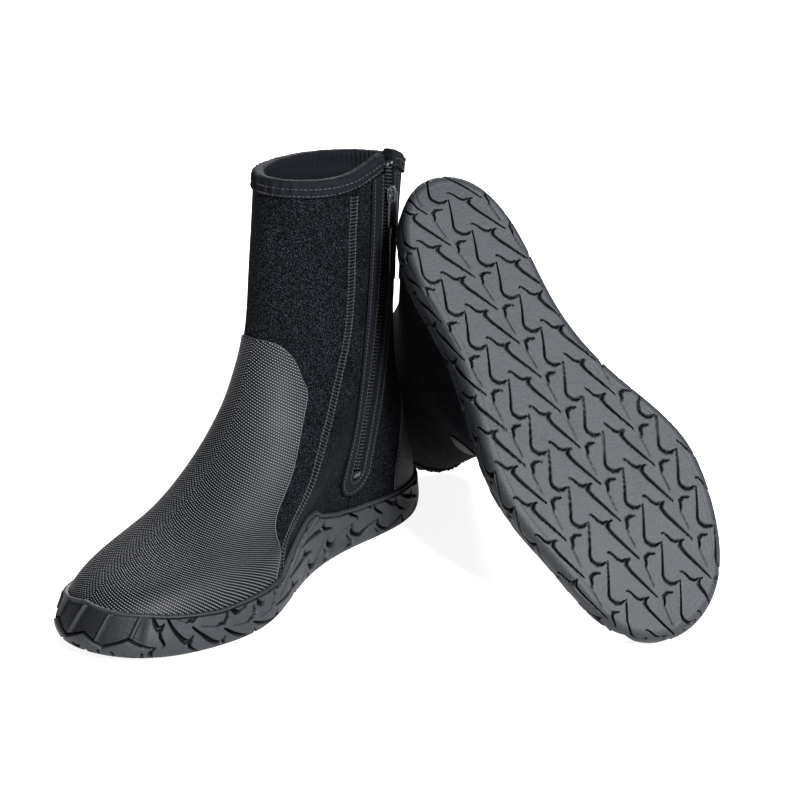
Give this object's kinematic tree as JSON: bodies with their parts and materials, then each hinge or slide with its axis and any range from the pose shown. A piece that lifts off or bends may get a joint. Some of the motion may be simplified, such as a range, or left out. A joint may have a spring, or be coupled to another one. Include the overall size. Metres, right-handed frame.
{
  "type": "neoprene dive boots",
  "caption": "Pair of zipped neoprene dive boots with moulded rubber soles: one stands upright and the other leans against it on its toe and collar, sole turned up.",
  "frame": {"origin": "on the ground under the middle of the right boot's sole, 145 mm in front of its heel", "axes": "-Z is the outward normal of the right boot's sole, -Y runs from its heel towards its toe, +X towards its inner side, where the zip is and the left boot leans"},
  "size_m": [0.3355, 0.3907, 0.2492],
  "materials": {
    "rubber": "matte moulded",
    "neoprene": "matte knit face",
    "footbed": "felted foam",
    "overlay": "matte, fine raised texture",
    "binding": "matte woven",
    "zip_tape": "woven",
    "zip_teeth": "moulded satin",
    "zip_metal": "black lacquer, satin"
  },
  "bodies": {
    "right_boot": {"right_outsole": "rubber", "right_toe_bumper": "rubber", "right_sock_sole": "neoprene", "right_footbed": "footbed", "right_front_panel": "neoprene", "right_inner_quarter": "neoprene", "right_heel_quarter": "neoprene", "right_toe_overlay": "overlay", "right_heel_overlay": "overlay", "right_collar_binding": "binding", "right_zip_tape_front": "zip_tape", "right_zip_tape_rear": "zip_tape", "right_zip_teeth_front": "zip_teeth", "right_zip_teeth_rear": "zip_teeth", "right_zip_top_stop_front": "zip_metal", "right_zip_top_stop_rear": "zip_metal", "right_zip_bottom_stop": "zip_metal", "right_zip_facing": "binding", "right_zip_gusset": "neoprene"},
    "right_zip_slider": {"right_zip_slider": "zip_metal"},
    "right_zip_pull": {"right_zip_pull_loop": "zip_metal", "right_zip_pull_tab": "zip_teeth"},
    "left_boot": {"left_outsole": "rubber", "left_toe_bumper": "rubber", "left_sock_sole": "neoprene", "left_footbed": "footbed", "left_front_panel": "neoprene", "left_inner_quarter": "neoprene", "left_heel_quarter": "neoprene", "left_toe_overlay": "overlay", "left_heel_overlay": "overlay", "left_collar_binding": "binding", "left_zip_tape_front": "zip_tape", "left_zip_tape_rear": "zip_tape", "left_zip_teeth_front": "zip_teeth", "left_zip_teeth_rear": "zip_teeth", "left_zip_top_stop_front": "zip_metal", "left_zip_top_stop_rear": "zip_metal", "left_zip_bottom_stop": "zip_metal", "left_zip_facing": "binding", "left_zip_gusset": "neoprene"},
    "left_zip_slider": {"left_zip_slider": "zip_metal"},
    "left_zip_pull": {"left_zip_pull_loop": "zip_metal", "left_zip_pull_tab": "zip_teeth"}
  },
  "joints": [
    {"name": "left_boot_away", "type": "slide", "parent": "right_boot", "child": "left_boot", "axis": [1, 0, 0], "range_m": [0, 0.3]},
    {"name": "right_zip", "type": "hinge", "parent": "right_boot", "child": "right_zip_slider", "pos_m": [0.034, -0.53732, 0.20477], "axis": [-0.9986, 0, 0.0523], "range_deg": [0, 14]},
    {"name": "right_zip_pull_swivel", "type": "hinge", "parent": "right_zip_slider", "child": "right_zip_pull", "pos_m": [0.03932, 0.0831, 0.22434], "axis": [-0.9846, -0.1682, 0.0466], "range_deg": [0, 30]},
    {"name": "left_zip", "type": "hinge", "parent": "left_boot", "child": "left_zip_slider", "pos_m": [0.38578, 0.16456, -0.39369], "axis": [0.4508, 0.844, 0.2906], "range_deg": [0, 14]},
    {"name": "left_zip_pull_flip", "type": "hinge", "parent": "left_zip_slider", "child": "left_zip_pull", "pos_m": [-0.0216, 0.22744, 0.07044], "axis": [-0.7244, -0.0492, 0.6876], "range_deg": [0, 170]}
  ]
}
